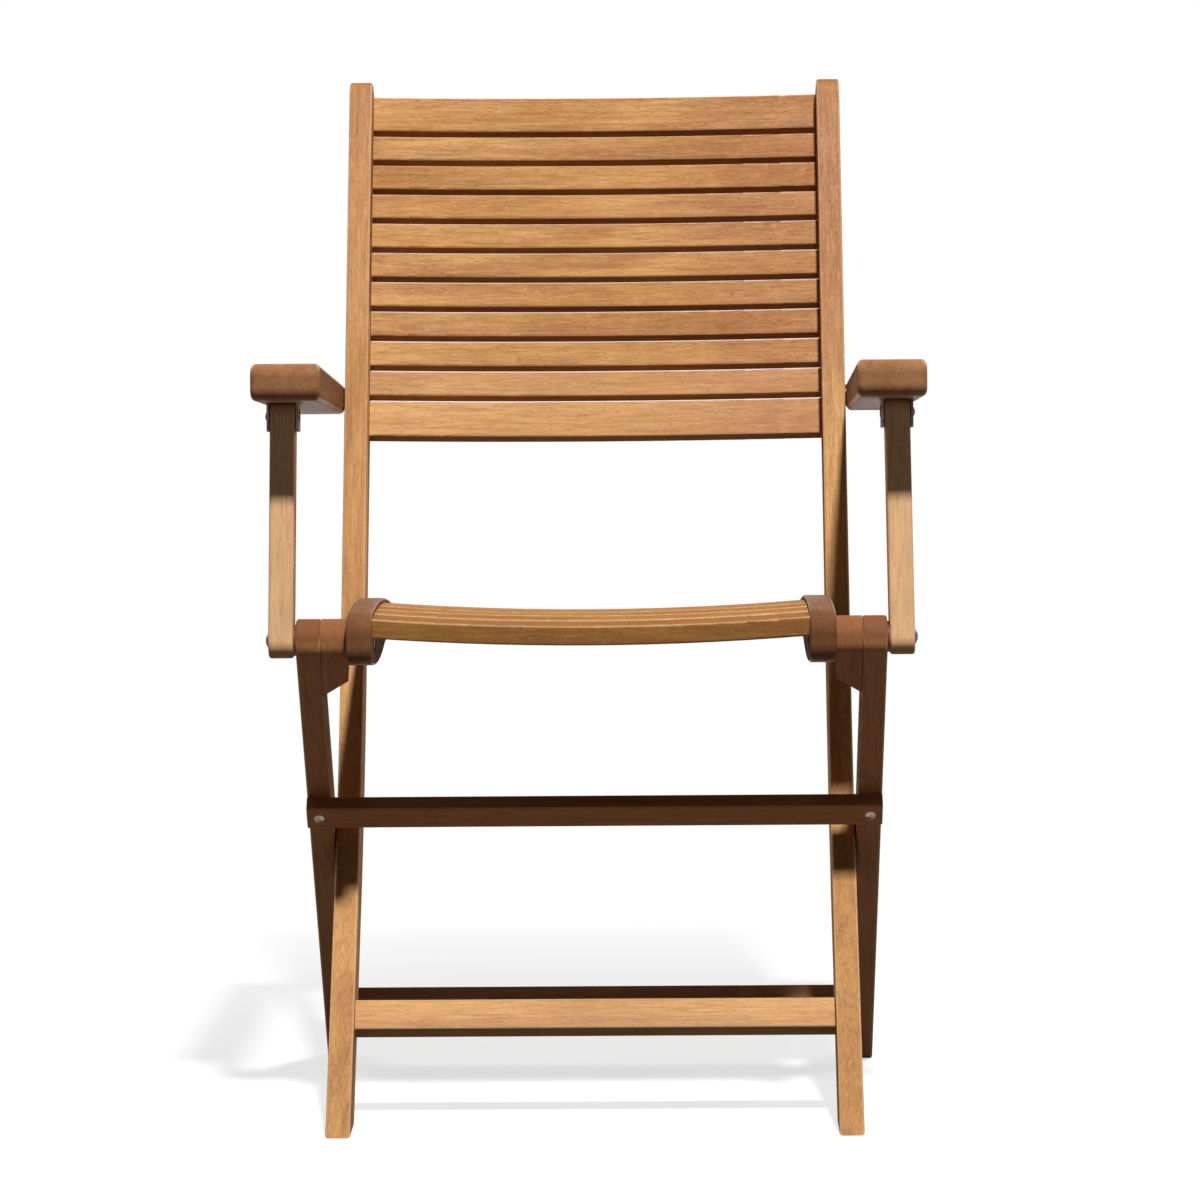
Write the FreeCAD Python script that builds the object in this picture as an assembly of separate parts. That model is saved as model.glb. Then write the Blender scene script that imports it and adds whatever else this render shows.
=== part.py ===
import FreeCAD, Part
import math
import os

# Folding garden armchair of oiled hardwood.
# Millimetres, +Z up, the sitter looks along -Y, X runs across the chair.
# Side-view places are written as (y, z) with y = 0 at the front edge of the front feet.
# The finished part is moved so that its origin is on the floor under the middle of its box.

# Sizes across the chair
inside_width = 410.0          # clear width between the stiles
stile_thick = 21.0
leg_thick = 21.0
strut_thick = 21.0
rail_thick = 22.0
leg_gap = 1.0                 # washer between stile and leg
strut_gap = 2.0               # between leg and strut
rail_gap = 0.8                # air between stile and seat rail
block_gap = 1.0               # washer between leg block and seat rail
arm_gap = 2.0                 # washer between stile and arm

# Stiles: back uprights that bend forward into the front legs
chair_height = 891.0
stile_width = 45.0
lower_lean = 40.0             # degrees from upright, below the bend
upper_lean = 24.5             # degrees from upright, above the bend
bend_height = 276.0           # where the two front edges would meet
bend_radius = 800.0           # of the front edge
stile_top_round = 14.0

# Fold: legs turn on the stiles, the seat turns on the legs and slides up the stiles
pivot_height = 219.0
groove_inset = 11.0           # groove line behind the stile's front edge
leg_lean = 40.75              # degrees from upright
seat_pivot_height = 414.5
fold_angle = 55.0             # turn of the legs from open to folded
leg_width = 36.0

# Arms and struts
arm_pivot_height = 603.0
arm_lean = 4.2                # degrees that the arm rises to the front
arm_overhang = 78.0           # arm in front of its strut pivot
arm_rear_thick = 27.0
arm_front_thick = 31.0
arm_side_reach = 8.0          # arm outside the strut
arm_front_width = 58.0
arm_nose_round = 11.0
strut_pivot_drop = 0.2        # strut's upper pivot below the arm's
strut_tilt = 3.4              # how far its top stands further in than its foot
strut_lean = 2.0              # degrees that the strut leans back
strut_width = 30.0

# Back slats, from the top down
back_top_drop = 12.8          # top slat's upper front edge below the stiles' tops
back_narrow_count = 9
back_wide = 34.4
back_narrow = 24.0
back_slat_gap = 5.4
back_slat_thick = 15.0
back_slat_bow = 5.0           # how far the middle stands behind the ends

# Seat
rail_front_reach = 44.25      # foremost point ahead of the seat's pivot
rail_nose_rise = 24.4         # front end of the top curve above the seat's pivot
rail_nose_round = 18.0        # upper front corner
rail_chin_round = 16.0        # lower front corner
rail_crest_reach = 46.0       # crest behind the seat's pivot
rail_crest_rise = 27.0        # crest above the seat's pivot
rail_rear_drop = 16.9         # rear end below the crest
rail_below = 16.0             # underside below the seat's pivot, at the nose
rail_belly = 24.0             # underside below the seat's pivot, at its lowest
rail_heel_below = 18.0        # underside below the guide pin, at the rear end
rail_belly_round = 100.0      # where the belly meets the straight rear underside
rail_heel_round = 17.0        # lower rear corner, round the guide pin
rail_rear_round = 7.0         # upper rear corner
seat_slat_count = 8
seat_slat_share = 0.825       # of the slats' pitch, the rest is gap
seat_slat_thick = 16.5
seat_slat_inset = 6.0         # front slat behind the rail's foremost point
seat_slat_drop = 4.2          # slat ends below the rail's top
seat_slat_dish = 7.0          # middle of a slat below its ends

# Stretchers, crossbar and blocks
front_stretcher_low = 113.5   # along the stile from its foot
front_stretcher_tall = 29.0
front_stretcher_thick = 16.0
front_stretcher_inset = 12.0
rear_stretcher_mid = 224.0    # along the leg below the fold pivot
rear_stretcher_tall = 50.0
rear_stretcher_thick = 15.0
crossbar_mid = 71.2           # along the leg above the fold pivot
crossbar_tall = 25.0
crossbar_thick = 15.0
block_reach = 49.0            # block below the seat pivot, along the leg
block_inner_reach = 31.0      # the same on its inner face

# Hardware
bolt_radius = 4.0
small_bolt_radius = 3.0
fit_clearance = 0.05          # running fit, radial
bolt_head_radius = 7.0
rivet_head_radius = 4.6
rivet_head_height = 2.1
rivet_tail_height = 0.8
bolt_head_height = 3.0
socket_flats = 4.0            # hexagon recess in a bolt's head
socket_depth = 2.0
sunk_head_radius = 8.0
sunk_head_depth = 4.0
sunk_clearance = 0.5
washer_radius = 10.0
nut_flats = 13.0
nut_thick = 6.0
strut_washer_radius = 13.0
strut_washer_thick = 1.6
nut_recess = 7.5              # nut and washer sunk in the rail's inner face
insert_radius = 6.0
insert_length = 11.0
pin_grip = 16.0               # guide pin inside the rail
groove_depth = 8.0
groove_clearance = 0.4
pin_end_gap = 1.0
screw_radius = 2.0
screw_length = 30.0
screw_head_radius = 4.5
screw_head_height = 2.5
recess_reach = 2.6            # cross recess in a screw's head
recess_width = 1.2
recess_depth = 1.6
bracket_thick = 2.0
bracket_length = 26.0
bracket_below = 13.0          # ears below the strut's pivot
bracket_clearance = 0.8
bracket_screw_length = 14.0
bracket_screw_head = 3.5
pocket_clearance = 0.8
pocket_rear = 34.0            # pocket behind the strut's pivot

# Eased edges
board_ease = 2.5
slat_ease = 2.0
arm_ease = 5.0


# Plane geometry in the side view

def lean_up(degrees):
    """Unit (y, z) that climbs with this lean to the rear."""
    turn = math.radians(degrees)
    return (math.sin(turn), math.cos(turn))


def behind(direction):
    """Unit (y, z) square to a climbing direction, on its rear side."""
    return (direction[1], -direction[0])


def step(start, direction, length):
    return (start[0] + direction[0] * length, start[1] + direction[1] * length)


def step_to_height(start, direction, height):
    return step(start, direction, (height - start[1]) / direction[1])


def distance(a, b):
    return math.hypot(b[0] - a[0], b[1] - a[1])


lower = lean_up(lower_lean)
upper = lean_up(upper_lean)
leg_up = lean_up(-leg_lean)
foot = (0.0, 0.0)
bend = step_to_height(foot, lower, bend_height)

groove_start = step(bend, behind(upper), groove_inset)
fold_pivot = step_to_height(groove_start, upper, pivot_height)
seat_pivot = step_to_height(fold_pivot, leg_up, seat_pivot_height)
leg_reach = distance(fold_pivot, seat_pivot)


def groove_reach(fold):
    """Fold pivot to guide pin: the seat's pin keeps an isosceles triangle with the legs."""
    return 2 * leg_reach * math.cos(math.radians(leg_lean + upper_lean - fold))


guide_pin = step(fold_pivot, upper, groove_reach(0.0))
guide_pin_folded = step(fold_pivot, upper, groove_reach(fold_angle))
stile_middle = step(bend, behind(upper), stile_width / 2)
arm_pivot = step_to_height(stile_middle, upper, arm_pivot_height)
strut_pivot = step_to_height(seat_pivot, lean_up(strut_lean), arm_pivot_height - strut_pivot_drop)
strut_length = distance(seat_pivot, strut_pivot)
rail_front = seat_pivot[0] - rail_front_reach
rail_crest = (seat_pivot[0] + rail_crest_reach, seat_pivot[1] + rail_crest_rise)
rail_rear = (guide_pin[0] + rail_heel_round, rail_crest[1] - rail_rear_drop)
rail_bottom = seat_pivot_height - rail_below
rail_heel = guide_pin[1] - rail_heel_below
seat_slat_start = rail_front + seat_slat_inset
seat_slat_pitch = (rail_rear[0] - seat_slat_start) / (seat_slat_count - 1 + seat_slat_share)
seat_slat_width = seat_slat_pitch * seat_slat_share

bolt_bore = bolt_radius + fit_clearance
stile_in = inside_width / 2
stile_out = stile_in + stile_thick
leg_in = stile_out + leg_gap
leg_out = leg_in + leg_thick
strut_in = leg_out + strut_gap
strut_out = strut_in + strut_thick
bracket_middle = (strut_in + strut_out) / 2 - strut_tilt
rail_out = stile_in - rail_gap
rail_in = rail_out - rail_thick
block_in = rail_out + block_gap
arm_in = stile_out + arm_gap
arm_outer_x = strut_out + arm_side_reach
arm_front_inner_x = arm_outer_x - arm_front_width


# Solids

def at(x, place):
    return FreeCAD.Vector(x, place[0], place[1])


def line(a, b):
    return Part.LineSegment(at(0, a), at(0, b)).toShape()


def arc(a, middle, b):
    return Part.Arc(at(0, a), at(0, middle), at(0, b)).toShape()


def slab(edges, x_low, x_high):
    """Board of the side outline between two planes across the chair."""
    face = Part.Face(Part.Wire(edges))
    face.translate(FreeCAD.Vector(x_low, 0, 0))
    return face.extrude(FreeCAD.Vector(x_high - x_low, 0, 0))


def outline(points):
    closed = points + points[:1]
    return [line(a, b) for a, b in zip(closed, closed[1:])]


def round_link(a, b, width):
    """Outline of a bar with a round end on each of two pivots."""
    length = distance(a, b)
    along = ((b[0] - a[0]) / length, (b[1] - a[1]) / length)
    side = behind(along)
    half = width / 2
    return [
        line(step(a, side, half), step(b, side, half)),
        arc(step(b, side, half), step(b, along, half), step(b, side, -half)),
        line(step(b, side, -half), step(a, side, -half)),
        arc(step(a, side, -half), step(a, along, -half), step(a, side, half)),
    ]


def rod(place, radius, x_low, x_high):
    return Part.makeCylinder(radius, x_high - x_low, at(x_low, place), FreeCAD.Vector(1, 0, 0))


def ring(place, outer, inner, x_low, x_high):
    return rod(place, outer, x_low, x_high).cut(rod(place, inner, x_low, x_high))


def headed_bolt(place, radius, x_low, x_base, head_radius, head_height):
    """Bolt whose round head stands out from a plane towards +X."""
    top = x_base + head_height
    ball_radius = (head_radius ** 2 + head_height ** 2) / (2 * head_height)
    ball = Part.makeSphere(ball_radius, at(top - ball_radius, place))
    head = ball.common(rod(place, head_radius, x_base, top))
    return rod(place, radius, x_low, x_base).fuse(head).removeSplitter()


def socket_bolt(place, x_low, x_base):
    """Bolt with a round head and a hexagon recess in it."""
    top = x_base + bolt_head_height
    bolt = headed_bolt(place, bolt_radius, x_low, x_base, bolt_head_radius, bolt_head_height)
    return bolt.cut(hexagon(place, socket_flats, top - socket_depth, top))


def hexagon(place, flats, x_low, x_high):
    corner = flats / 2 / math.cos(math.pi / 6)
    turns = [math.pi / 3 * i for i in range(6)]
    points = [(place[0] + corner * math.cos(t), place[1] + corner * math.sin(t)) for t in turns]
    return slab(outline(points), x_low, x_high)


def hex_nut(place, flats, x_low, x_high, bore):
    return hexagon(place, flats, x_low, x_high).cut(rod(place, bore, x_low, x_high))


def ease_sides(solid, radius):
    """Round the outline edges on a slab's two faces across the chair."""
    box = solid.BoundBox
    edges = []
    for edge in solid.Edges:
        span = edge.BoundBox
        flat = span.XLength < fit_clearance
        outer = min(abs(span.XMin - box.XMin), abs(span.XMax - box.XMax)) < fit_clearance
        if flat and outer:
            edges.append(edge)
    return solid.makeFillet(radius, edges)


def ease_long(solid, radius):
    """Round the edges that run across the chair."""
    edges = [edge for edge in solid.Edges if edge.BoundBox.XLength > inside_width / 2]
    return solid.makeFillet(radius, edges)


def lean_frame(base, degrees):
    """Frame at a side-view place whose z climbs with this lean and whose y points behind it."""
    turn = FreeCAD.Rotation(FreeCAD.Vector(1, 0, 0), -degrees)
    return FreeCAD.Placement(at(0, base), turn)


def placed(solid, frame):
    solid.Placement = frame.multiply(solid.Placement)
    return solid


def mirrored(solid):
    return solid.mirror(FreeCAD.Vector(0, 0, 0), FreeCAD.Vector(1, 0, 0))


def box(x_low, x_high, y_low, y_high, z_low, z_high):
    size = (x_high - x_low, y_high - y_low, z_high - z_low)
    return Part.makeBox(*size, FreeCAD.Vector(x_low, y_low, z_low))


nodes = {}


def add_pair(name, right):
    nodes[name + "_right"] = right
    nodes[name + "_left"] = mirrored(right)


def add_group(name, right):
    nodes[name] = Part.makeCompound([right, mirrored(right)])


def stile():
    """Bent board, open along its inner face for the seat's guide pin."""
    half_turn = math.radians((lower_lean - upper_lean) / 2)
    middle_lean = lean_up((lower_lean + upper_lean) / 2)
    centre = step(bend, behind(middle_lean), -bend_radius / math.cos(half_turn))
    edges = {}
    for name, radius in (("front", bend_radius), ("rear", bend_radius + stile_width)):
        edges[name] = [step(centre, behind(d), radius) for d in (lower, middle_lean, upper)]
    top = step_to_height(bend, upper, chair_height - stile_top_round * (1 - upper[0]))
    top_front = step(step(top, behind(upper), stile_top_round), upper, stile_top_round)
    top_rear = step(step(top, behind(upper), stile_width - stile_top_round), upper, stile_top_round)
    rear_shoulder = step(top, behind(upper), stile_width)
    round_front = step(step(top, behind(upper), stile_top_round), lean_up(upper_lean - 45), stile_top_round)
    round_rear = step(step(top, behind(upper), stile_width - stile_top_round),
                      lean_up(upper_lean + 45), stile_top_round)
    heel = step_to_height(edges["rear"][0], lower, 0.0)
    board = slab([
        line(foot, edges["front"][0]),
        arc(*edges["front"]),
        line(edges["front"][2], top),
        arc(top, round_front, top_front),
        line(top_front, top_rear),
        arc(top_rear, round_rear, rear_shoulder),
        line(rear_shoulder, edges["rear"][2]),
        arc(*reversed(edges["rear"])),
        line(edges["rear"][0], heel),
        line(heel, foot),
    ], stile_in, stile_out)
    board = ease_sides(board, board_ease)
    groove_width = 2 * (bolt_radius + groove_clearance)
    groove = slab(round_link(guide_pin, guide_pin_folded, groove_width), stile_in, stile_in + groove_depth)
    board = board.cut(groove)
    for place in (fold_pivot, arm_pivot):
        board = board.cut(rod(place, insert_radius + fit_clearance, stile_out - insert_length, stile_out))
    return board


def stile_inserts():
    start = stile_out - insert_length
    places = (fold_pivot, arm_pivot)
    return Part.makeCompound([ring(place, insert_radius, bolt_bore, start, stile_out) for place in places])


def bowed_slat(tall, low):
    """Back slat between the stiles, at a distance along the upper stile."""
    front = stile_width - back_slat_thick
    ends = [FreeCAD.Vector(x, y, low) for y in (front, stile_width) for x in (-stile_in, stile_in)]
    middles = [FreeCAD.Vector(0, y + back_slat_bow, low) for y in (front, stile_width)]
    face = Part.Face(Part.Wire([
        Part.Arc(ends[0], middles[0], ends[1]).toShape(),
        Part.LineSegment(ends[1], ends[3]).toShape(),
        Part.Arc(ends[3], middles[1], ends[2]).toShape(),
        Part.LineSegment(ends[2], ends[0]).toShape(),
    ]))
    return placed(ease_long(face.extrude(FreeCAD.Vector(0, 0, tall)), slat_ease), lean_frame(bend, upper_lean))


def add_back_slats():
    setback = (stile_width - back_slat_thick) * upper[0]
    top = (chair_height - back_top_drop - bend[1] + setback) / upper[1]
    talls = [back_wide] + [back_narrow] * back_narrow_count + [back_wide]
    for number, tall in enumerate(talls, 1):
        nodes["back_slat_%02d" % number] = bowed_slat(tall, top - tall)
        top -= tall + back_slat_gap


def front_stretcher():
    depth = (front_stretcher_inset, front_stretcher_inset + front_stretcher_thick)
    height = (front_stretcher_low, front_stretcher_low + front_stretcher_tall)
    bar = box(-stile_in, stile_in, *depth, *height)
    return placed(ease_long(bar, slat_ease), lean_frame(foot, lower_lean))


def rear_leg():
    below = step(fold_pivot, leg_up, -(fold_pivot[1] + leg_width) / leg_up[1])
    board = slab(round_link(below, seat_pivot, leg_width), leg_in, leg_out)
    floor = box(leg_in, leg_out, fold_pivot[0], below[0] + leg_width, below[1] - leg_width, 0.0)
    board = ease_sides(board.cut(floor), board_ease)
    head_floor = leg_out - sunk_head_depth - sunk_clearance
    for place in (fold_pivot, seat_pivot):
        board = board.cut(rod(place, bolt_bore, leg_in, leg_out))
        board = board.cut(rod(place, sunk_head_radius + fit_clearance, head_floor, leg_out))
    return board.cut(crossbar_screw_hole())


def leg_block():
    """Spacer glued inside the leg's top, with its lower end cut off slantwise."""
    low = step(seat_pivot, leg_up, -block_reach)
    half = leg_width / 2
    side = behind(leg_up)
    edges = [
        line(step(low, side, half), step(seat_pivot, side, half)),
        arc(step(seat_pivot, side, half), step(seat_pivot, leg_up, half), step(seat_pivot, side, -half)),
        line(step(seat_pivot, side, -half), step(low, side, -half)),
        line(step(low, side, -half), step(low, side, half)),
    ]
    block = slab(edges, block_in, leg_in)
    slant = [(block_in, -block_inner_reach), (leg_in, -block_reach), (block_in, -block_reach)]
    corners = [FreeCAD.Vector(x, -half, z) for x, z in slant]
    wedge = Part.Face(Part.makePolygon(corners + corners[:1])).extrude(FreeCAD.Vector(0, leg_width, 0))
    block = block.cut(placed(wedge, lean_frame(seat_pivot, -leg_lean)))
    return block.cut(rod(seat_pivot, bolt_bore, block_in, leg_in))


def leg_frame_box(x_low, x_high, y_low, y_high, z_low, z_high):
    bar = ease_long(box(x_low, x_high, y_low, y_high, z_low, z_high), slat_ease)
    return placed(bar, lean_frame(fold_pivot, -leg_lean))


def crossbar_screw_line():
    """Place of the crossbar screw's head and the way its point goes."""
    frame = lean_frame(fold_pivot, -leg_lean)
    x = (leg_in + leg_out) / 2
    head = frame.multVec(FreeCAD.Vector(x, -leg_width / 2 - crossbar_thick, crossbar_mid))
    return head, frame.Rotation.multVec(FreeCAD.Vector(0, 1, 0))


def crossbar_screw_hole():
    head, inward = crossbar_screw_line()
    return Part.makeCylinder(screw_radius + fit_clearance, screw_length + fit_clearance, head, inward)


def crossbar_screw():
    head, inward = crossbar_screw_line()
    shank = Part.makeCylinder(screw_radius, screw_length, head, inward)
    ball_radius = (screw_head_radius ** 2 + screw_head_height ** 2) / (2 * screw_head_height)
    ball = Part.makeSphere(ball_radius, head + inward * (ball_radius - screw_head_height))
    cap = Part.makeCylinder(screw_head_radius, screw_head_height, head, inward * -1)
    screw = shank.fuse(ball.common(cap)).removeSplitter()
    x = (leg_in + leg_out) / 2
    top = -leg_width / 2 - crossbar_thick - screw_head_height
    for wide, tall in ((recess_reach, recess_width / 2), (recess_width / 2, recess_reach)):
        slot = box(x - wide, x + wide, top, top + recess_depth, crossbar_mid - tall, crossbar_mid + tall)
        screw = screw.cut(placed(slot, lean_frame(fold_pivot, -leg_lean)))
    return screw


def leg_crossbar():
    front = -leg_width / 2
    half = crossbar_tall / 2
    depth = (front - crossbar_thick, front)
    bar = leg_frame_box(-leg_out, leg_out, *depth, crossbar_mid - half, crossbar_mid + half)
    return bar.cut(crossbar_screw_hole()).cut(mirrored(crossbar_screw_hole()))


def rear_stretcher():
    half_thick = rear_stretcher_thick / 2
    half = rear_stretcher_tall / 2
    middle = -rear_stretcher_mid
    return leg_frame_box(-leg_in, leg_in, -half_thick, half_thick, middle - half, middle + half)


def rail_top_circle():
    """Circle through the rail's nose, crest and rear: the curve that the seat lies on."""
    nose = (rail_front, seat_pivot_height + rail_nose_rise)
    return nose, arc(nose, rail_crest, rail_rear)


def cross_edge(board, place):
    """Edge across the rail that passes nearest a place in the side view."""
    edges = [edge for edge in board.Edges if edge.BoundBox.XLength > rail_thick - fit_clearance]
    return min(edges, key=lambda edge: distance((edge.BoundBox.YMin, edge.BoundBox.ZMin), place))


def seat_rail():
    nose, curve = rail_top_circle()
    low_rear = (rail_rear[0], rail_heel)
    low_front = (rail_front, rail_bottom)
    belly = (rail_crest[0], seat_pivot_height - rail_belly)
    belly_end = ((belly[0] + rail_rear[0]) / 2, rail_heel)
    board = slab([
        curve,
        line(rail_rear, low_rear),
        line(low_rear, belly_end),
        arc(belly_end, belly, low_front),
        line(low_front, nose),
    ], rail_in, rail_out)
    rounds = ((nose, rail_nose_round), (low_front, rail_chin_round), (belly_end, rail_belly_round),
              (low_rear, rail_heel_round), (rail_rear, rail_rear_round))
    for place, radius in rounds:
        board = board.makeFillet(radius, [cross_edge(board, place)])
    board = ease_sides(board, board_ease)
    board = board.cut(rod(seat_pivot, bolt_bore, rail_in, rail_out))
    board = board.cut(rod(seat_pivot, washer_radius + sunk_clearance, rail_in, rail_in + nut_recess))
    return board.cut(rod(guide_pin, bolt_bore, rail_out - pin_grip, rail_out))


def add_seat_slats():
    curve = rail_top_circle()[1].Curve
    centre = (curve.Center.y, curve.Center.z)
    radius = curve.Radius - seat_slat_drop
    half = seat_slat_width / 2
    ends = [FreeCAD.Vector(x, -half, z) for z in (0.0, -seat_slat_thick) for x in (-rail_in, rail_in)]
    middles = [FreeCAD.Vector(0, -half, z - seat_slat_dish) for z in (0.0, -seat_slat_thick)]
    for number in range(seat_slat_count):
        face = Part.Face(Part.Wire([
            Part.Arc(ends[0], middles[0], ends[1]).toShape(),
            Part.LineSegment(ends[1], ends[3]).toShape(),
            Part.Arc(ends[3], middles[1], ends[2]).toShape(),
            Part.LineSegment(ends[2], ends[0]).toShape(),
        ]))
        slat = ease_long(face.extrude(FreeCAD.Vector(0, seat_slat_width, 0)), slat_ease)
        middle = seat_slat_start + half + number * seat_slat_pitch
        lean = math.asin((middle - centre[0]) / radius)
        base = step(centre, lean_up(math.degrees(lean)), radius)
        nodes["seat_slat_%02d" % (number + 1)] = placed(slat, lean_frame(base, math.degrees(lean)))


def guide_pins():
    return rod(guide_pin, bolt_radius, rail_out - pin_grip, stile_in + groove_depth - pin_end_gap)


def sunk_bolt(place, end):
    """Bolt whose flat head, with a hexagon recess, lies flush in the leg's outer face."""
    shank = rod(place, bolt_radius, end, leg_out - sunk_head_depth)
    head = rod(place, sunk_head_radius, leg_out - sunk_head_depth, leg_out)
    bolt = shank.fuse(head).removeSplitter()
    return bolt.cut(hexagon(place, socket_flats, leg_out - socket_depth, leg_out))


def fold_bolt():
    return sunk_bolt(fold_pivot, stile_out - insert_length)


def seat_bolt():
    return sunk_bolt(seat_pivot, rail_in + nut_recess - block_gap - nut_thick)


def seat_washers():
    outer = ring(seat_pivot, washer_radius, bolt_bore, rail_out, block_in)
    roof = rail_in + nut_recess
    inner = ring(seat_pivot, washer_radius, bolt_bore, roof - block_gap, roof)
    return Part.makeCompound([outer, inner])


def seat_nut():
    seat = rail_in + nut_recess - block_gap
    return hex_nut(seat_pivot, nut_flats, seat - nut_thick, seat, bolt_bore)


def arm_frame():
    """Frame on the strut pivot: y runs back along the arm, z is square to it."""
    turn = FreeCAD.Rotation(FreeCAD.Vector(1, 0, 0), -arm_lean)
    return FreeCAD.Placement(at(0, strut_pivot), turn)


def arm_roof():
    """Height of the pocket's roof above the strut pivot."""
    return strut_width / 2 + pocket_clearance + bracket_thick


def arm_board():
    along = lean_up(-90 + arm_lean)
    up = lean_up(arm_lean)
    length = distance(arm_pivot, strut_pivot) + arm_overhang
    half_rear = arm_rear_thick / 2
    half_front = arm_front_thick / 2
    tip = step(arm_pivot, along, length)
    edges = [
        line(step(arm_pivot, up, half_rear), step(tip, up, half_front)),
        line(step(tip, up, half_front), step(tip, up, -half_front)),
        line(step(tip, up, -half_front), step(arm_pivot, up, -half_rear)),
        arc(step(arm_pivot, up, -half_rear), step(arm_pivot, along, -half_rear), step(arm_pivot, up, half_rear)),
    ]
    side = slab(edges, arm_front_inner_x - arm_gap, arm_outer_x)
    nose = [edge for edge in side.Edges if edge.BoundBox.XLength > arm_gap
            and edge.BoundBox.YMax < tip[0] + half_front]
    side = side.makeFillet(arm_nose_round, nose)
    front = tip[0] - half_front
    rear = arm_pivot[0] + arm_rear_thick
    plan_points = [(arm_front_inner_x, front), (arm_outer_x, front), (arm_outer_x, rear), (arm_in, rear)]
    corners = [FreeCAD.Vector(x, y, 0) for x, y in plan_points]
    plan = Part.Face(Part.makePolygon(corners + corners[:1]))
    board = side.common(plan.extrude(FreeCAD.Vector(0, 0, chair_height)))
    return board


def arm():
    board = arm_board()
    rims = [edge for edge in board.Edges if edge.BoundBox.YLength > arm_ease]
    board = board.makeFillet(arm_ease, rims)
    frame = arm_frame()
    half = bracket_half_width() + bracket_clearance
    pocket = box(bracket_middle - half, bracket_middle + half,
                 -bracket_length / 2 - bracket_clearance, pocket_rear, -strut_width, arm_roof())
    board = board.cut(placed(pocket, frame))
    board = board.cut(rod(arm_pivot, bolt_bore, stile_out, arm_outer_x))
    board = board.cut(rod(arm_pivot, washer_radius + sunk_clearance, stile_out, arm_in))
    for hole in bracket_screw_solids(screw_radius + fit_clearance, fit_clearance):
        board = board.cut(hole)
    return board


def bracket_half_width():
    return strut_thick / 2 + bracket_clearance + bracket_thick


def bracket():
    half = bracket_half_width()
    span = (bracket_middle - half, bracket_middle + half)
    half_length = bracket_length / 2
    outer = box(*span, -half_length, half_length, -bracket_below, arm_roof())
    inner = box(span[0] + bracket_thick, span[1] - bracket_thick, -half_length, half_length,
                -bracket_below, arm_roof() - bracket_thick)
    channel = placed(outer.cut(inner), arm_frame())
    channel = channel.cut(rod(strut_pivot, small_bolt_radius + fit_clearance, *span))
    for hole in bracket_screw_solids(screw_radius + fit_clearance, fit_clearance):
        channel = channel.cut(hole)
    return channel


def bracket_screw_solids(radius, extra):
    """Two flush screws up through the bracket's plate into the arm."""
    solids = []
    for y in (-bracket_length / 4, bracket_length / 4):
        base = FreeCAD.Vector(bracket_middle, y, arm_roof() - bracket_thick)
        shank = Part.makeCylinder(radius, bracket_screw_length + extra, base)
        head = Part.makeCone(bracket_screw_head + extra, radius, bracket_thick / 2, base)
        solids.append(placed(shank.fuse(head), arm_frame()))
    return solids


def bracket_rivet():
    """Pin through the bracket's ears, with a round head outside and a flat tail inside."""
    half = bracket_half_width()
    ears = (bracket_middle - half, bracket_middle + half)
    pin = headed_bolt(strut_pivot, small_bolt_radius, *ears, rivet_head_radius, rivet_head_height)
    tail = rod(strut_pivot, rivet_head_radius, ears[0] - rivet_tail_height, ears[0])
    return pin.fuse(tail).removeSplitter()


def arm_bolt():
    return socket_bolt(arm_pivot, stile_out - insert_length, arm_outer_x)


def strut():
    """Short upright with a round end on each pivot, its top tilted inwards."""
    board = slab(round_link(seat_pivot, strut_pivot, strut_width), strut_in - strut_tilt * 2, strut_out + strut_gap)
    ends = board.BoundBox
    band = box(strut_in, strut_out, ends.YMin, ends.YMax, ends.ZMin - strut_width, ends.ZMax + strut_width)
    tilt = math.degrees(math.atan(strut_tilt / strut_length))
    band.rotate(at(strut_in, seat_pivot), FreeCAD.Vector(0, 1, 0), -tilt)
    board = board.common(band)
    rims = [edge for edge in board.Edges if edge.BoundBox.YLength + edge.BoundBox.ZLength > edge.BoundBox.XLength]
    board = board.makeFillet(board_ease, rims)
    board = board.cut(rod(strut_pivot, small_bolt_radius + fit_clearance, ends.XMin, ends.XMax))
    board = board.cut(rod(seat_pivot, strut_washer_radius + sunk_clearance, ends.XMin, strut_in))
    board = board.cut(rod(seat_pivot, bolt_head_radius + sunk_clearance, strut_out, ends.XMax))
    return board.cut(rod(seat_pivot, bolt_bore, ends.XMin, ends.XMax))


def strut_bolt():
    return socket_bolt(seat_pivot, strut_in, strut_out)


def strut_washer():
    return ring(seat_pivot, strut_washer_radius, bolt_bore, strut_in - strut_washer_thick, strut_in)


add_pair("stile", stile())
add_back_slats()
nodes["front_stretcher"] = front_stretcher()
add_group("stile_inserts", stile_inserts())
add_group("fold_bolts", fold_bolt())
add_group("fold_washers", ring(fold_pivot, washer_radius, bolt_bore, stile_out, leg_in))
add_group("arm_bolts", arm_bolt())
add_group("arm_washers", ring(arm_pivot, washer_radius, bolt_bore, stile_out, arm_in))
add_pair("rear_leg", rear_leg())
add_pair("leg_block", leg_block())
nodes["leg_crossbar"] = leg_crossbar()
add_group("crossbar_screws", crossbar_screw())
nodes["rear_stretcher"] = rear_stretcher()
add_group("seat_bolts", seat_bolt())
add_group("seat_washers", seat_washers())
add_group("seat_nuts", seat_nut())
add_pair("seat_rail", seat_rail())
add_seat_slats()
add_group("guide_pins", guide_pins())
add_pair("arm_board", arm())
add_pair("arm_bracket", bracket())
add_pair("bracket_screws", Part.makeCompound(bracket_screw_solids(screw_radius, 0.0)))
add_pair("bracket_rivet", bracket_rivet())
add_pair("arm_strut", strut())
add_pair("strut_bolt", strut_bolt())
add_pair("strut_washer", strut_washer())

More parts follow.
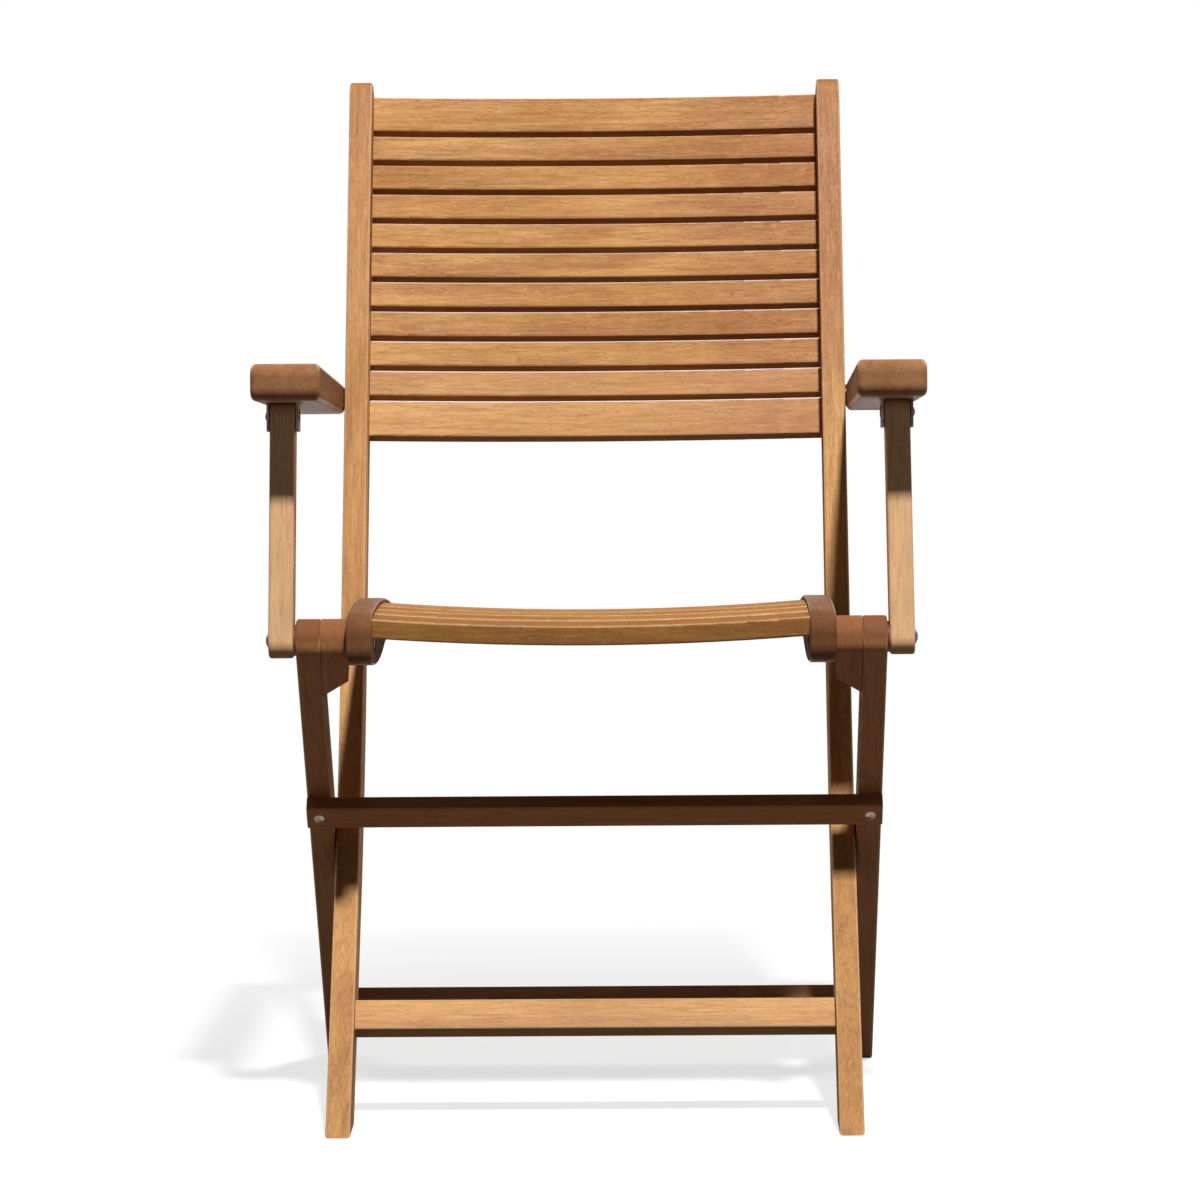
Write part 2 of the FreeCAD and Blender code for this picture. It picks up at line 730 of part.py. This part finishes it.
# Origin on the floor, under the middle of the whole part
whole = Part.makeCompound(list(nodes.values())).optimalBoundingBox()
to_middle = FreeCAD.Vector(0, -(whole.YMin + whole.YMax) / 2, 0)

os.makedirs("parts", exist_ok=True)
for name, solid in nodes.items():
    solid.translate(to_middle)
    solid.exportStep("parts/%s.step" % name)

for name, place in (("fold", fold_pivot), ("seat", seat_pivot), ("guide pin", guide_pin),
                    ("arm", arm_pivot), ("strut", strut_pivot)):
    print("%s pivot y %.3f z %.3f" % (name, place[0] + to_middle.y, place[1]))
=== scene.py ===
import math
from collections import namedtuple

import bpy
from mathutils import Matrix, Vector


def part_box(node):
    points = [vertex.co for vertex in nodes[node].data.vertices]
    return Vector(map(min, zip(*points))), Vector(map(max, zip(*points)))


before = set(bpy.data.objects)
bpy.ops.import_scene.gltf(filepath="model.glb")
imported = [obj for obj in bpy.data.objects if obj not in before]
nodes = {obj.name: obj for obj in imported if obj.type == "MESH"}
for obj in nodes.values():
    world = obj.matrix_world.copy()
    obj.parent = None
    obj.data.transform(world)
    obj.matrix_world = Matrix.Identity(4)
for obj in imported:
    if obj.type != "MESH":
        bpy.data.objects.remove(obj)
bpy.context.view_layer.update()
scene = bpy.context.scene

# Tones of the oiled boards, their tints and their cut ends
honey = (0.600, 0.302, 0.080)
amber = (0.425, 0.190, 0.043)
straw = (0.92, 0.55, 0.29)
# Pale tone: the arrises take it as painted highlight, and the flecks as the wood's own colour
pale = (0.95, 0.70, 0.52)
rosy = (0.340, 0.122, 0.037)
russet = (0.50, 0.195, 0.085)
end_brown = (0.16, 0.055, 0.022)
plum = (0.118, 0.043, 0.022)
clay = (0.21, 0.105, 0.085)

# Tones of the hardware, clean and dulled, and of the fibre rings beside the struts
zinc = (0.32, 0.28, 0.21)
tarnish = (0.20, 0.16, 0.11)
gunmetal = (0.120, 0.095, 0.082)
soot = (0.045, 0.036, 0.031)
brick = (0.200, 0.052, 0.026)
brick_dark = (0.110, 0.028, 0.016)

# Tones of the floor, as it scatters light and as it is seen, and of the background
floor_dim = (0.10, 0.10, 0.10)
floor_seen = (0.92, 0.92, 0.92)
white = (1.0, 1.0, 1.0, 1.0)

# Leans of the sloping boards, in degrees from upright to the rear. The arms are nearly level
lower_lean = 40.0
upper_lean = 24.5
leg_lean = -40.75
strut_lean = 2.0
arm_lean = 94.2

# Shares of the figure in the wood's colour
band_share = 0.58
mottle_share = 0.30
fleck_share = 0.20
streak_share = 0.26
fibre_share = 0.24
pore_share = 0.36
# Side faces are darkened, partly as sawn wood and partly as painted shade
sawn_and_shade_share = 0.30
# Arrises are paled by these two shares, partly as wear and partly as painted highlight
wear_and_highlight_share = 0.80
edge_highlight_paleness = 0.45
line_darkness = 0.42

# Gloss of the wood, and how tones and figures differ from board to board
wood_roughness = 0.38
wood_specular = 0.09
share_swing = 0.05
share_step = 2.4
figure_step = (1.7, 0.61, 0.37)

# Light: strength of the room, where the lamps point, and the share of the floor's own shading,
# with the shadow in it, from near the chair to where it has gone
dim_room = 0.03
lamp_aim = Vector((0.0, 0.0, 0.45))
shadow_share = 0.30
shadow_near, shadow_far = 0.35, 1.30
floor_size = 40.0

# Camera: its place, back from the front foot, its turns in radians, and its focal length in photo pixels
camera_x, camera_back, camera_height = 0.0598, 4.2, 0.7847
yaw, pitch, roll = -0.01235, -0.07933, -0.0079
focal_px = 5078.6
photo_px = 1200.0
sensor_mm = 36.0


class Shade:
    """One value in a material's nodes. Arithmetic on it adds Math nodes."""

    def __init__(self, tree, socket=None):
        self.tree = tree
        self.socket = socket

    def node(self, kind, settings=None, inputs=None, out=0):
        """Adds a node: its settings first, then its sockets, as values or links."""
        made = self.tree.nodes.new("ShaderNode" + kind)
        for name, value in (settings or {}).items():
            setattr(made, name, value)
        for name, value in (inputs or {}).items():
            if isinstance(value, Shade):
                self.tree.links.new(value.socket, made.inputs[name])
            else:
                made.inputs[name].default_value = value
        return Shade(self.tree, made.outputs[out])

    def feed(self, target, name):
        """Links this value to a socket of another node."""
        self.tree.links.new(self.socket, target.inputs[name])

    def math(self, operation, *values):
        """One Math node on values or links."""
        return self.node("Math", {"operation": operation}, dict(enumerate(values)))

    def __add__(self, other):
        return self.math("ADD", self, other)

    def __radd__(self, other):
        return self.math("ADD", other, self)

    def __sub__(self, other):
        return self.math("SUBTRACT", self, other)

    def __rsub__(self, other):
        return self.math("SUBTRACT", other, self)

    def __mul__(self, other):
        return self.math("MULTIPLY", self, other)

    def __rmul__(self, other):
        return self.math("MULTIPLY", other, self)

    def smooth(self, low, high):
        """Runs from 0 to 1 as the value goes from low to high."""
        return self.node("MapRange", {"interpolation_type": "SMOOTHSTEP"},
                         {"Value": self, "From Min": low, "From Max": high})

    def mixed(self, first, second):
        """Colour between two, by this value."""
        tones = [tone if isinstance(tone, Shade) else (*tone, 1.0) for tone in (first, second)]
        factor, colour_a, colour_b, colour_out = 0, 6, 7, 2
        return self.node("Mix", {"data_type": "RGBA"},
                         {factor: self, colour_a: tones[0], colour_b: tones[1]}, colour_out)

    def along(self, direction):
        """Length of a vector along a direction."""
        return self.node("VectorMath", {"operation": "DOT_PRODUCT"}, {0: self, 1: direction}, "Value")


def finish_tree(name):
    """A new material: the material itself, a Shade to build its nodes with, and its surface shader."""
    material = bpy.data.materials.new(name)
    material.use_nodes = True
    shader = material.node_tree.nodes["Principled BSDF"]
    return material, Shade(material.node_tree), shader


def blended(first, second, share):
    """A fixed tone between two."""
    return tuple(a + (b - a) * share for a, b in zip(first, second))


def oiled_wood(name, board, box, seed):
    """Oiled hardwood: fibres along the grain, and arrises between the side and the face square to it, paled
    partly as wear and partly as painted highlight.

    A share of the tint colours the whole board. It reddens and darkens toward the grain's far end by its far
    shade, painted shade where less light and sheen fall. Its side faces are darker, partly as sawn wood and
    partly as painted shade, and the cut ends are darker by their own share, partly as end grain and partly as
    painted shade on rounded ends.
    """
    material, make, shader = finish_tree(name)
    grain = Vector(board.grain)
    side = Vector(board.side)
    low, high = (Vector(corner) for corner in box)
    centre = (low + high) / 2
    half_length = abs((high - centre).dot(grain))
    turn = grain.rotation_difference(Vector((1, 0, 0)))
    shift = turn @ -centre + Vector([step * seed for step in figure_step])
    place = make.node("TexCoord", out="Object")
    laid = make.node("Mapping", inputs={"Vector": place, "Location": shift, "Rotation": turn.to_euler()})

    def figure(stretch, scale, detail, warp=0.0):
        """Noise drawn out along the grain."""
        thin = make.node("Mapping", inputs={"Vector": laid, "Scale": stretch})
        return make.node("TexNoise", {"noise_dimensions": "3D"},
                         {"Vector": thin, "Scale": scale, "Detail": detail, "Distortion": warp})

    clouds = figure((1.0, 4.0, 4.0), scale=5.0, detail=3.0, warp=0.3).smooth(0.30, 0.70)
    bands = figure((0.8, 14.0, 14.0), scale=5.0, detail=4.0, warp=0.6).smooth(0.44, 0.68)
    streaks = figure((0.9, 20.0, 20.0), scale=11.0, detail=4.0, warp=0.4).smooth(0.52, 0.70)
    fibres = figure((1.6, 24.0, 24.0), scale=22.0, detail=5.0).smooth(0.36, 0.66)
    pores = figure((3.0, 18.0, 18.0), scale=60.0, detail=2.0).smooth(0.56, 0.70)
    flecks = figure((3.5, 16.0, 16.0), scale=46.0, detail=2.0, warp=0.2).smooth(0.54, 0.72)
    mottle = figure((5.0, 3.0, 3.0), scale=16.0, detail=3.0).smooth(0.52, 0.75)
    # Painted shade: darker and redder toward the grain's far end, where less light and sheen fall
    far_end_shade = ((place.along(grain) - centre.dot(grain)) * (1 / half_length)).smooth(0.1, 0.8)

    # Side faces, cut ends, and arrises where the side and the face square to it meet; the sides and ends are
    # darker partly as painted shade, the arrises paler partly as painted highlight
    normal = make.node("TexCoord", out="Normal")
    ends = normal.along(grain)
    one = normal.along(side)
    other = normal.along(grain.cross(side))
    # Cut ends are darker, partly as end grain and partly as painted shade where rounded ends turn from the
    # light
    end_grain_and_shade = (ends * ends).smooth(0.10, 0.60)
    # Side faces are darker, partly as sawn wood and partly as painted shade on faces turned from the light
    sawn_and_shade = (one * one).smooth(0.72, 0.98)
    arris = (one * one * other * other * 4.0).smooth(0.10, 0.80)
    # Arrises are paler, partly as wear and partly as painted highlight along the edges
    wear_and_highlight = arris * (0.55 + 0.45 * mottle)

    light, middle, red = [blended(tone, board.tint, board.share) for tone in (honey, amber, rosy)]
    fleck_and_highlight_tone = blended(light, pale, edge_highlight_paleness * (1 - board.share))
    line = [part * line_darkness for part in red]
    tone = clouds.mixed(light, middle)
    layers = ((far_end_shade, board.fade, red), (bands, band_share, red), (mottle, mottle_share, light),
              (flecks, fleck_share, fleck_and_highlight_tone), (streaks, streak_share, line), (fibres, fibre_share, line),
              (pores, pore_share, line), (sawn_and_shade, sawn_and_shade_share, line), (wear_and_highlight, wear_and_highlight_share, fleck_and_highlight_tone),
              (end_grain_and_shade, board.cut, end_brown))
    for mask, strength, colour in layers:
        tone = (mask * strength).mixed(tone, colour)
    tone.feed(shader, "Base Color")

    polish = wood_roughness + clouds * 0.08 + fibres * 0.08 + pores * 0.16 - wear_and_highlight * 0.05
    (polish + end_grain_and_shade * 0.20 + sawn_and_shade * 0.30).feed(shader, "Roughness")
    height = fibres * 0.35 - pores * 0.8 - end_grain_and_shade * mottle * 0.3
    make.node("Bump", inputs={"Strength": 0.18, "Distance": 0.0006, "Height": height}).feed(shader, "Normal")
    shader.inputs["Specular IOR Level"].default_value = wood_specular
    return material


def speckle(make, scale, detail, low, high):
    """Even noise on a small piece."""
    noise = make.node("TexNoise", inputs={"Vector": make.node("TexCoord", out="Object"),
                                          "Scale": scale, "Detail": detail})
    return noise.smooth(low, high)


def metal(name, clean, dull, roughness):
    """Plated steel, dulled in patches and finely scratched."""
    material, make, shader = finish_tree(name)
    dulled = speckle(make, 220.0, 4.0, 0.40, 0.70)
    scratches = speckle(make, 900.0, 2.0, 0.45, 0.75)
    (dulled * 0.7).mixed(clean, dull).feed(shader, "Base Color")
    (roughness + dulled * 0.22 + scratches * 0.08).feed(shader, "Roughness")
    relief = make.node("Bump", inputs={"Strength": 0.10, "Distance": 0.0003, "Height": scratches})
    relief.feed(shader, "Normal")
    shader.inputs["Metallic"].default_value = 1.0
    return material


def fibre_board(name):
    """Pressed red-brown fibre of the rings between legs and struts."""
    material, make, shader = finish_tree(name)
    flecks = speckle(make, 700.0, 4.0, 0.35, 0.65)
    flecks.mixed(brick, brick_dark).feed(shader, "Base Color")
    (0.50 + flecks * 0.2).feed(shader, "Roughness")
    relief = make.node("Bump", inputs={"Strength": 0.15, "Distance": 0.0003, "Height": flecks})
    relief.feed(shader, "Normal")
    return material


def climbing(degrees):
    """Direction that climbs with a lean to the rear."""
    turn = math.radians(degrees)
    return (0.0, math.sin(turn), math.cos(turn))


# For each kind of board: where its fibres run, one side square to them, its tint and the tint's share, how
# far it reddens and darkens toward the grain's far end as painted shade, and how dark its ends are. A name
# takes the first kind it begins with
Board = namedtuple("Board", "grain side tint share fade cut")
across = (1.0, 0.0, 0.0)
rearward = (0.0, 1.0, 0.0)
upright = (0.0, 0.0, 1.0)
boards = {
    # The stiles redden and darken toward the top as painted shade, the right one more
    "stile_left": Board(climbing(upper_lean), across, straw, 0.08, 0.52, 0.55),
    "stile_right": Board(climbing(upper_lean), across, straw, 0.14, 0.85, 0.55),
    # The legs are redder and darker, partly the wood's tone and partly painted warm bounce light in their
    # shade
    "rear_leg": Board(climbing(leg_lean), across, russet, 0.55, 0.30, 0.80),
    "leg_block": Board(climbing(leg_lean), across, russet, 0.50, 0.30, 0.62),
    "arm_strut": Board(climbing(strut_lean), across, straw, 0.90, 0.0, 0.55),
    "arm_board": Board(climbing(arm_lean), across, clay, 0.42, 0.0, 0.16),
    "seat_rail": Board(rearward, across, plum, 0.82, 0.0, 0.25),
    # The front seat slat is darker than the others: painted shade on its front face
    "seat_slat_01": Board(across, upright, end_brown, 0.30, 0.10, 0.50),
    "seat_slat": Board(across, upright, end_brown, 0.10, 0.10, 0.50),
    # Back slats redden and darken toward their far ends as painted shade where the sheen falls off; slats 10
    # and 11 are paler, partly their own tone and partly painted sheen
    "back_slat_10": Board(across, climbing(upper_lean), straw, 0.20, 0.55, 0.50),
    "back_slat_11": Board(across, climbing(upper_lean), straw, 0.22, 0.60, 0.50),
    "back_slat": Board(across, climbing(upper_lean), straw, 0.0, 0.58, 0.50),
    "front_stretcher": Board(across, climbing(lower_lean), straw, 0.30, 0.0, 0.50),
    # Redder and darker, partly the wood's tone and partly painted warm shade, as on the legs
    "leg_crossbar": Board(across, climbing(leg_lean), russet, 0.65, 0.0, 0.50),
    "rear_stretcher": Board(across, climbing(leg_lean), clay, 0.30, 0.0, 0.50),
}

plated = metal("plated_steel", zinc, tarnish, 0.34)
dark_steel = metal("dark_steel", gunmetal, soot, 0.40)
fibre = fibre_board("red_fibre")
for number, name in enumerate(sorted(nodes)):
    kind = next((kind for kind in boards if name.startswith(kind)), None)
    if kind:
        share = max(0.0, boards[kind].share + share_swing * math.sin(share_step * number))
        finish = oiled_wood(name + "_wood", boards[kind]._replace(share=share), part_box(name), number + 1)
    elif name.startswith("strut_washer"):
        finish = fibre
    elif "bracket" in name or name.startswith(("strut_bolt", "arm_washers")):
        finish = dark_steel
    else:
        finish = plated
    nodes[name].data.materials.clear()
    nodes[name].data.materials.append(finish)


def looked_at(make):
    """1 for what the camera, a reflection or a look through glass sees, 0 for the light that is scattered."""
    camera_ray, glossy_ray, transmission_ray = [
        make.node("LightPath", out="Is " + kind + " Ray") for kind in ("Camera", "Glossy", "Transmission")]
    return make.math("MAXIMUM", make.math("MAXIMUM", camera_ray, glossy_ray), transmission_ray)


# Floor, pale and without a horizon, that keeps the chair's shadow
bpy.ops.mesh.primitive_plane_add(size=floor_size)
floor = bpy.context.object
floor.name = "floor"
floor_finish, make, shader = finish_tree("pale_floor")
seen = looked_at(make)
spot = make.node("VectorMath", {"operation": "LENGTH"}, {0: make.node("TexCoord", out="Object")}, "Value")
near = 1 - spot.smooth(shadow_near, shadow_far)
seen.mixed(floor_dim, floor_seen).feed(shader, "Base Color")
shader.inputs["Roughness"].default_value = 1.0
shader.inputs["Specular IOR Level"].default_value = 0.0
glow = make.node("Emission", inputs={"Color": white, "Strength": 1.0})
both = make.node("MixShader", inputs={0: seen * (1 - near * shadow_share), 2: glow})
make.tree.links.new(shader.outputs[0], both.socket.node.inputs[1])
both.feed(make.tree.nodes["Material Output"], "Surface")
floor.data.materials.append(floor_finish)

# Light: a dim pale room, a soft lamp high in front, a little to the right, and one behind on each side
world = bpy.data.worlds.new("room")
scene.world = world
world.use_nodes = True
sky = world.node_tree.nodes["Background"]
sky.inputs["Color"].default_value = white
(looked_at(Shade(world.node_tree)) * (1 - dim_room) + dim_room).feed(sky, "Strength")


def lamp(name, place, size, power):
    """A square lamp that points at the chair's middle."""
    light = bpy.data.lights.new(name, "AREA")
    light.shape = "RECTANGLE"
    light.size = size
    light.size_y = size
    light.energy = power
    stand = bpy.data.objects.new(name, light)
    stand.location = place
    stand.rotation_euler = (lamp_aim - Vector(place)).to_track_quat("-Z", "Y").to_euler()
    scene.collection.objects.link(stand)


lamp("front_lamp", (0.80, -4.48, 7.14), size=0.45, power=840.0)
lamp("rear_left_lamp", (-2.7, 2.3, 2.3), size=1.6, power=60.0)
lamp("rear_right_lamp", (2.7, 2.3, 2.3), size=1.6, power=60.0)

# Camera at the photo's place, worked out for a square frame
front_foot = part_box("stile_right")[0][1]
forward = Vector((math.sin(yaw) * math.cos(pitch), math.cos(yaw) * math.cos(pitch), math.sin(pitch)))
right = Vector((math.cos(yaw), -math.sin(yaw), 0.0))
level = Matrix((right, right.cross(forward), -forward)).transposed()
eye = bpy.data.cameras.new("eye")
eye.sensor_fit = "HORIZONTAL"
eye.sensor_width = sensor_mm
eye.lens = sensor_mm * focal_px / photo_px
camera = bpy.data.objects.new("camera", eye)
stand_point = Matrix.Translation((camera_x, front_foot - camera_back, camera_height))
camera.matrix_world = stand_point @ (level @ Matrix.Rotation(roll, 3, "Z")).to_4x4()
scene.collection.objects.link(camera)
scene.camera = camera

scene.view_settings.view_transform = "Standard"
